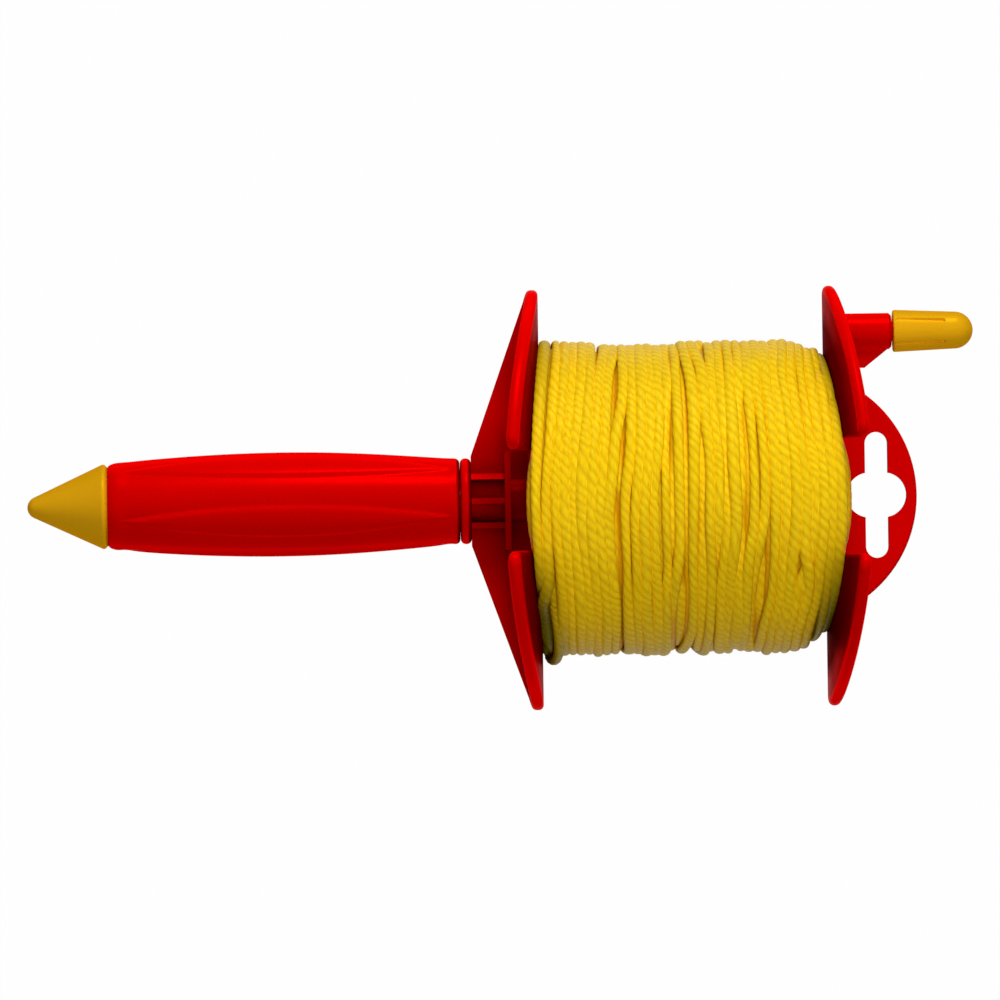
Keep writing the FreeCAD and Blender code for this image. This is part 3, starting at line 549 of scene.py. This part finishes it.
# painted shade: how deep a place lies in the shade of the corners beside the flanges, wider on the side away
# from the window
def cornerShade(look, x, angle, radius):
    away = smoothStep(-np.cos(angle) * look["duskTurn"])
    slope, start = look["duskBeside"]
    beside = smoothStep(np.abs(np.cos(angle)) * slope - start)
    nearReach, farReach = look["duskReach"]
    nearShare, farShare = look["duskShare"]
    reach = nearReach + (farReach - nearReach) * away
    gap = wallRoom(look, angle, radius, x) - np.abs(x)
    share = nearShare * beside + (farShare - nearShare) * away
    return np.clip(share, 0, 1) * smoothStep(1 - gap / reach)


# a three-strand line: at every station a lobed ring, turned by the lay, square to the way it runs.
# Its draws start from a seed of the piece's own size and first place
def linePiece(name, across, radius, cover, angle, look):
    turns = len(across)
    x = across.reshape(-1) + look["middle"]
    r = radius.reshape(-1)
    t = np.tile(angle, turns)
    path = np.stack((x, r * np.cos(t), r * np.sin(t)), 1)
    tangent = np.gradient(path, axis=0)
    tangent /= np.linalg.norm(tangent, axis=1)[:, None]
    out = np.stack((np.zeros_like(t), np.cos(t), np.sin(t)), 1)
    side = np.cross(tangent, out)
    side /= np.linalg.norm(side, axis=1)[:, None]
    out = np.cross(side, tangent)
    along = np.concatenate(([0], np.cumsum(np.linalg.norm(np.diff(path, axis=0), axis=1))))
    around = np.arange(look["sides"] + 1) / look["sides"]
    lobe = np.sqrt(np.abs(np.cos(lineLook["strands"] / 2 * 2 * np.pi * around)))
    section = 1 - look["strandDepth"] * (1 - lobe)
    rng = np.random.default_rng(look["seed"] + turns + int(abs(x[0] * 100)))
    step = look["driftLength"]
    marks = np.arange(0, along[-1] + step, step)
    wider = look["width"] * (1 + look["widthDrift"] * np.interp(along, marks, rng.normal(size=len(marks))))
    lift = look["heightDrift"] * np.interp(along, marks, rng.normal(size=len(marks)))
    path = path + lift[:, None] * out
    step = look["layDriftLength"]
    layMarks = np.arange(0, along[-1] + step, step)
    slip = np.interp(along, layMarks, rng.normal(size=int(along[-1] / step) + 2))
    twist = along / look["lay"] + look["layDrift"] * slip
    turn = (around[None, :] - twist[:, None]) * 2 * np.pi
    high, wide = np.cos(turn), np.sin(turn)
    square = look["squareness"]
    reach = section[None, :] / (np.abs(high) ** square + np.abs(wide) ** square) ** (1 / square)
    ring = path[:, None] + reach[..., None] / 2 * (look["height"] * high[..., None] * out[:, None]
                                                   + (wider[:, None] * wide)[..., None] * side[:, None])
    chart = (np.repeat(along[:, None], look["sides"] + 1, 1), np.repeat(around[None], len(path), 0))
    # painted shade: the depth under the turns above and round the line's own underside, and the corners' painted
    # shade
    depth = cover.reshape(-1)[:, None] + look["height"] / 2 * (1 - high)
    corner = np.repeat(cornerShade(look, x - look["middle"], t, r)[:, None], look["sides"], 1)
    marks = {"depthShade": depth[:, :-1].reshape(-1), "corner": corner.reshape(-1)}
    return surfacePiece(name, ring[:, :-1], chart, look, marks)


# how far each turn lies below the highest one within a line's width of it, plus a share of how far it has sunk
# below the bed's level; this depth sets the painted shade
def coverDepth(across, radius, look):
    cover = np.clip(look["bed"] - look["sunkBelow"] - radius, 0, None) * look["sunkShare"]
    for n in range(len(across)):
        widths = np.abs(across - across[n]) / (look["coverWidth"] * look["diameter"])
        near = np.clip(look["coverReach"] - widths, 0, 1)
        cover[n] += (near * (radius - radius[n])).max(0)
    return cover


# the hidden layers as one ridged mass: up one side face, across and down the other, ridges a line
# apart. Each ridge shows half of a line's way round
def massPoints(look):
    steps = look["massSteps"]
    sideCount = int((look["bed"] - look["drumRadius"]) / look["massPitch"]) * steps
    topCount = int(2 * look["halfGap"] / look["massPitch"]) * steps
    rise, fall = np.linspace(0, 1, sideCount, endpoint=False), np.linspace(1, 0, sideCount)
    share = np.concatenate((rise, np.ones(topCount), fall))
    level = np.linspace(-1, 1, topCount, endpoint=False)
    cross = np.concatenate((-np.ones(sideCount), level, np.ones(sideCount)))
    t = np.linspace(-np.pi / 2, 1.5 * np.pi, look["massSides"] + 1)[None, :]
    cross, share = cross[:, None] + 0 * t, share[:, None] + 0 * t
    low = look["drumRadius"] + look["massGap"]
    side = np.where(cross < 0, -1, 1)
    edge = wallRoom(look, t, look["massEdge"], side) - look["massEdgeGap"]
    xTop = cross * edge
    rTop = bedRadius(look, xTop, t) - look["massInset"]
    r = low + (rTop - low) * share
    wall = wallRoom(look, t, r, side) - look["massWallGap"]
    onSide = share < 1
    x = np.where(onSide, side * np.minimum(wall, edge), xTop)
    run = np.arange(len(share))[:, None] / steps + (t + np.pi / 2) / (2 * np.pi)
    ridge = look["massRidge"] * (np.abs(np.sin(np.pi * run)) - 1)
    x = x + np.where(onSide, side * ridge, 0)
    r = r + np.where(onSide, 0, ridge)
    points = np.stack((x + look["middle"], r * np.cos(t), r * np.sin(t)), -1)
    u = r * (t + np.pi / 2)
    return points, u, run / 2 + u / look["lay"]


across, radius, angle = woundLine(windingLook)
print("line wound:", len(across), "turns")
cover = coverDepth(across, radius, windingLook)
for n, start in enumerate(range(0, len(across), windingLook["turnsPerPiece"])):
    rows = slice(start, start + windingLook["turnsPerPiece"])
    linePiece(f"line_turns_{n + 1}", across[rows], radius[rows], cover[rows], angle, windingLook)
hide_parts("line_outer_layer")

# a slack bight of line that hangs out of the low corner beside the handle flange
bightLook = {
    **windingLook,
    "points": ((12.4, -26.0, 27.5), (13.3, -31.5, 22.5), (13.8, -36.2, 16.0), (13.7, -39.2, 9.5),
               (13.1, -40.7, 3.5), (12.3, -40.9, -0.5), (11.6, -39.9, -4.5), (11.6, -37.9, -8.5),
               (11.8, -35.5, -11.5)),
    # the bight gets a little painted shade by depth
    "stations": 150, "softness": 33, "height": 2.4, "width": 2.6, "strandDepth": 0.1, "depthShade": 0.3,
    "heightDrift": 0, "widthDrift": 0,
}


def bightPiece(name, look):
    marks = np.array(look["points"])
    at = np.linspace(0, len(marks) - 1, look["stations"])
    kernel = np.hanning(look["softness"]) / np.hanning(look["softness"]).sum()
    x, y, z = (smoothed(np.interp(at, np.arange(len(marks)), marks[:, n]), kernel, look["softness"] // 2)
               for n in range(3))
    turn = np.unwrap(np.arctan2(z, y))
    depthShade = np.full((1, len(x)), look["depthShade"])
    return linePiece(name, x[None] - look["middle"], np.hypot(y, z)[None], depthShade, turn, look)


bightPiece("line_bight", bightLook)
points, u, v = massPoints(windingLook)
massLook = {**windingLook, "rowsClose": True}
mass = surfacePiece("line_mass", points[:, :-1], (u, v), massLook, massLook["massMarks"])
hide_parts("line_core")


# points on a circle's arc from one angle to another, in degrees
def arcRun(middle, radius, start, end, count):
    turn = np.radians(np.linspace(start, end, count))
    return np.stack((middle[0] + radius * np.cos(turn), middle[1] + radius * np.sin(turn)), 1)


# places along X with their radii, spun round an axis that may lie offset from the spin axis
def spunPiece(name, along, radius, look):
    turn = np.linspace(0, 2 * np.pi, look["sides"] + 1)[None, :]
    x, r = along[:, None] + 0 * turn, radius + 0 * turn
    points = np.stack((x, look.get("offset", 0) - r * np.sin(turn), r * np.cos(turn)), -1)
    return surfacePiece(name, points[:, :-1], (x, turn / (2 * np.pi) + 0 * x), look)


# the grip: a barrel given by a curve through its radii, less a soft groove round five almond pads.
# The rounds give how long and how deep each end is rounded
gripLook = {
    "knots": ((-99.9, 10.85), (-96.5, 11.2), (-89.0, 11.9), (-76.2, 12.75), (-54.6, 13.3), (-40.6, 12.98),
              (-25.4, 12.0), (-15.2, 11.23), (-10.62, 10.86)),
    "curveDegree": 5, "curveMiddle": -55, "rounds": ((2.6, 0.9), (1.3, 1.1)),
    "pads": 5, "padTurn": 21, "padHalf": 20.5, "padEnds": (-97.5, -11.3), "padPointed": 0.75,
    "depth": 0.5, "shoulder": 3.8, "edge": 0.9, "fadeFrom": 1.02, "fadeLength": 0.1,
    "bore": 8.0, "journal": 4.2, "journalLength": 15.0, "rows": 210, "endRows": 9, "sides": 300,
    "slot": "red_plastic", "body": "handle", "rowsClose": True, "sharpFrom": 50,
}


# how far a rounded end falls short: its depth less a quarter circle over its length
def roundOff(depth, length, distance):
    return depth * (1 - np.sqrt(1 - np.clip(1 - distance / length, 0, 1) ** 2))


def gripProfile(look):
    knots = np.array(look["knots"])
    curve = np.polyfit(knots[:, 0] - look["curveMiddle"], knots[:, 1], look["curveDegree"])
    start, end = knots[0, 0], knots[-1, 0]
    (startLong, startDeep), (endLong, endDeep) = look["rounds"]
    ends = 1 - np.cos(np.linspace(0, np.pi / 2, look["endRows"]))
    middle = np.linspace(start + startLong, end - endLong, look["rows"])[1:-1]
    long = np.concatenate((start + startLong * ends, middle, end - endLong * ends[::-1]))
    turn = np.linspace(0, 2 * np.pi, look["sides"] + 1)[None, :]
    radius = np.polyval(curve, long - look["curveMiddle"])[:, None]
    corner = roundOff(startDeep, startLong, long - start) + roundOff(endDeep, endLong, end - long)
    first, last = look["padEnds"]
    half = (last - first) / 2
    t = (long[:, None] - np.mean(look["padEnds"])) / half
    wide = np.radians(look["padHalf"]) * np.clip(1 - t ** 2, 0, None) ** look["padPointed"]
    pitch = 2 * np.pi / look["pads"]
    offset = (turn - np.radians(look["padTurn"]) + pitch / 2) % pitch - pitch / 2
    away = radius * (np.abs(offset) - wide) + np.clip(np.abs(t) - 1, 0, None) * half
    groove = np.where(away > 0, np.exp(-away / look["shoulder"]), np.exp(-(away / look["edge"]) ** 2))
    fade = smoothStep((look["fadeFrom"] - np.abs(t)) / look["fadeLength"])
    outer = radius - look["depth"] * groove * fade - corner[:, None]
    step = end - look["journalLength"]
    inner = np.array([look["journal"], look["journal"], look["bore"], look["bore"]])[:, None]
    return np.concatenate((long, (end, step, step, start))), np.concatenate((outer, inner + 0 * turn))


grip = spunPiece("grip_sleeve", *gripProfile(gripLook), gripLook)
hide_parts("grip")
print("grip made")

# the tip cap: a ball nose, a straight cone, a lip that rolls in to the grip, and the plug behind it
capLook = {
    "tip": -120.4, "nose": 2.85, "noseFrom": 179.5, "halfAngle": 25, "lipTop": 10.72, "lipRound": 0.9,
    "lipEnd": 30, "seat": (-99.92, 9.9), "plug": (-93.9, 7.9), "plugMiddle": 0.2,
    "noseRows": 14, "coneRows": 40, "lipRows": 12, "sides": 180,
    "slot": "yellow_plastic", "body": "handle", "sharpFrom": 50,
}


def capProfile(look):
    slant = 90 + look["halfAngle"]
    nose = arcRun((look["tip"] + look["nose"], 0), look["nose"], look["noseFrom"], slant, look["noseRows"])
    lipRadius = look["lipTop"] - look["lipRound"]
    reach = lipRadius + look["lipRound"] * math.sin(math.radians(slant))
    start = nose[-1, 0] + (reach - nose[-1, 1]) / math.tan(math.radians(look["halfAngle"]))
    lipMiddle = start - look["lipRound"] * math.cos(math.radians(slant))
    cone = np.linspace(nose[-1], (start, reach), look["coneRows"] + 1)[1:-1]
    lip = arcRun((lipMiddle, lipRadius), look["lipRound"], slant, look["lipEnd"], look["lipRows"])
    seat, plug = look["seat"], look["plug"]
    rest = np.array((seat, (seat[0], plug[1]), plug, (plug[0], look["plugMiddle"])))
    return np.concatenate((nose, cone, lip, rest))


profile = capProfile(capLook)
cap = spunPiece("tip_cap_cone", profile[:, 0], profile[:, 1:], capLook)
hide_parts("tip_cap")

# the collar ring: a disc with a fully rounded rim
ringLook = {
    "ends": (-10.5, -7.7), "radius": 10.9, "round": 1.3, "bore": 4.05, "roundRows": 9, "sides": 180,
    "slot": "red_plastic", "body": "spool", "rowsClose": True, "sharpFrom": 50,
}


def ringProfile(look):
    start, end = look["ends"]
    soft, rows = look["round"], look["roundRows"]
    first = arcRun((start + soft, look["radius"] - soft), soft, 180, 90, rows)
    last = arcRun((end - soft, look["radius"] - soft), soft, 90, 0, rows)
    return np.concatenate((((start, look["bore"]),), first, last, ((end, look["bore"]),)))


profile = ringProfile(ringLook)
ring = spunPiece("collar_ring_rounded", profile[:, 0], profile[:, 1:], ringLook)
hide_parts("collar_ring")

# the knob: a taper with a ball end and a bore for its pin, less straight grooves (each as deep as a
# smooth step of the distance from its middle line allows)
knobLook = {
    "mouthAt": 100.0, "offset": 41.6, "length": 20.4, "mouth": 5.35, "nose": 4.7, "edge": 0.5,
    "grooves": 5, "grooveTurn": 39, "grooveHalf": 0.62, "grooveWall": 0.42, "grooveDepth": (0.45, 0.75),
    "grooveRun": (0.4, 13.3), "noseEnd": 1, "edgeRows": 7, "rows": 110, "noseRows": 30, "sides": 400,
    "bore": ((0, 2.55), (9.8, 2.55), (9.8, 2.95), (12.4, 2.95), (12.4, 0.2)),
    "slot": "yellow_plastic", "body": "crank_knob", "sharpFrom": 50,
}


def knobProfile(look):
    soft, half = look["edge"], look["grooveHalf"]
    edge = arcRun((soft, look["mouth"] - soft), soft, 180, 90, look["edgeRows"])
    ball = look["length"] - look["nose"]
    taper = np.linspace(edge[-1], (ball, look["nose"]), look["rows"])[1:-1]
    nose = arcRun((ball, 0), look["nose"], 90, look["noseEnd"], look["noseRows"])
    outer = np.concatenate((edge, taper, nose))
    turn = np.linspace(0, 360, look["sides"] + 1)[None, :]
    pitch = 360 / look["grooves"]
    offset = np.radians((turn - look["grooveTurn"] + pitch / 2) % pitch - pitch / 2)
    along, radius = outer[:, :1], outer[:, 1:]
    start, end = look["grooveRun"]
    beyond = np.maximum(np.maximum(start + half - along, along - end + half), 0)
    away = np.hypot(radius * offset, beyond)
    deepest = np.interp(along, look["grooveRun"], look["grooveDepth"])
    depth = smoothStep((half - away) / look["grooveWall"]) * deepest
    bore = np.array(look["bore"])[::-1]
    x = np.concatenate((bore[:, 0], outer[:, 0])) + look["mouthAt"]
    return x, np.concatenate((bore[:, 1:] + 0 * turn, radius - depth * (along < ball)))


knob = spunPiece("knob_grooved", *knobProfile(knobLook), knobLook)
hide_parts("knob")
print("tip cap, collar ring and knob made")

# daylight from a window beyond the crank's side, with a pale ceiling and a pale wall as fill
lightLook = {
    "lamps": {
        "window": {"place": (190, 1180, 620), "size": (500, 500), "power": 12.6},
        "ceiling": {"place": (90, 100, 1500), "size": (1200, 1000), "power": 8.4},
        "wall": {"place": (190, -600, 1300), "size": (300, 600), "power": 5.4},
    },
    "worldStrength": 0.02, "floor": "#606060", "floorHalf": 4.0, "shadowShare": 0.05, "glow": 1.04,
}


def addLamp(name, look):
    lamp = bpy.data.lights.new(name, "AREA")
    lamp.shape = "RECTANGLE"
    lamp.size, lamp.size_y = inMetres(look["size"])
    lamp.energy = look["power"]
    place = Vector(look["place"]) * mm
    lampObject = bpy.data.objects.new(name, lamp)
    lampObject.location = place
    lampObject.rotation_euler = (-place).to_track_quat("-Z", "Y").to_euler()
    bpy.context.scene.collection.objects.link(lampObject)


for name, lampLook in lightLook["lamps"].items():
    addLamp(name, lampLook)
bpy.context.scene.view_settings.view_transform = "Standard"


# 1 for rays that show the background: straight from the camera, mirrored or passed through
def shownRays(tree):
    rays = addNode(tree, "ShaderNodeLightPath").outputs
    mirrored = calculated(tree, "MAXIMUM", rays["Is Camera Ray"], rays["Is Glossy Ray"])
    return calculated(tree, "MAXIMUM", mirrored, rays["Is Transmission Ray"])


def lightWorld(look):
    world = bpy.data.worlds.new("room")
    bpy.context.scene.world = world
    world.use_nodes = True
    tree = world.node_tree
    background = tree.nodes["Background"]
    level = carried(tree, shownRays(tree), (0, 1), (look["worldStrength"], 1))
    tree.links.new(level, background.inputs["Strength"])
    background.inputs["Color"].default_value = (1, 1, 1, 1)


lightWorld(lightLook)


def layFloor(look):
    half = look["floorHalf"]
    corners = [(x * half, y * half, cadBox[0][2]) for x, y in ((-1, -1), (1, -1), (1, 1), (-1, 1))]
    mesh = bpy.data.meshes.new("floor")
    mesh.from_pydata(corners, [], [(0, 1, 2, 3)])
    floor = bpy.data.objects.new("floor", mesh)
    bpy.context.scene.collection.objects.link(floor)
    material = bpy.data.materials.new("paleStudioBoard")
    material.use_nodes = True
    tree = material.node_tree
    tree.nodes.remove(tree.nodes["Principled BSDF"])
    board = addNode(tree, "ShaderNodeBsdfDiffuse", values={"Color": linearColour(look["floor"])})
    glow = addNode(tree, "ShaderNodeEmission", values={"Color": (1, 1, 1, 1), "Strength": look["glow"]})
    seen = calculated(tree, "MULTIPLY", shownRays(tree), 1 - look["shadowShare"])
    mixed = addNode(tree, "ShaderNodeMixShader", {0: seen, 1: board.outputs[0], 2: glow.outputs[0]})
    tree.links.new(mixed.outputs[0], tree.nodes["Material Output"].inputs["Surface"])
    mesh.materials.append(material)


layFloor(lightLook)
print("stage lit")
